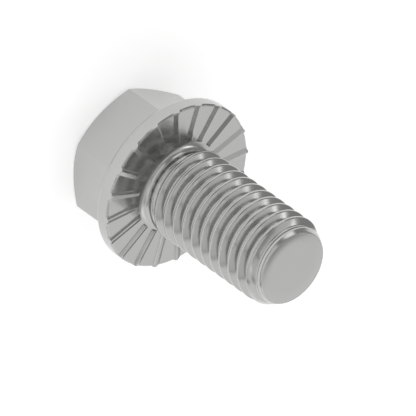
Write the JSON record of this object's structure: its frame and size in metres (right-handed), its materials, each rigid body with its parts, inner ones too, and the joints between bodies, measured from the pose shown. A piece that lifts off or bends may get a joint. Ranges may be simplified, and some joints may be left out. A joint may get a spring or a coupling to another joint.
{
  "type": "hexagon flange bolt",
  "caption": "Hexagon head screw with a round flange, radial ridges on the bearing face and a metric thread along the whole shank.",
  "frame": {"origin": "centre of the bearing face, on the thread's axis", "axes": "+Z along the shank to its chamfered end, +X to a corner of the hexagon and along a ridge"},
  "size_m": [0.0258, 0.0258, 0.0371],
  "materials": {
    "steel": "smooth bright zinc plating over cold-formed steel"
  },
  "bodies": {
    "root": {"flange_bolt": "steel"}
  },
  "joints": []
}
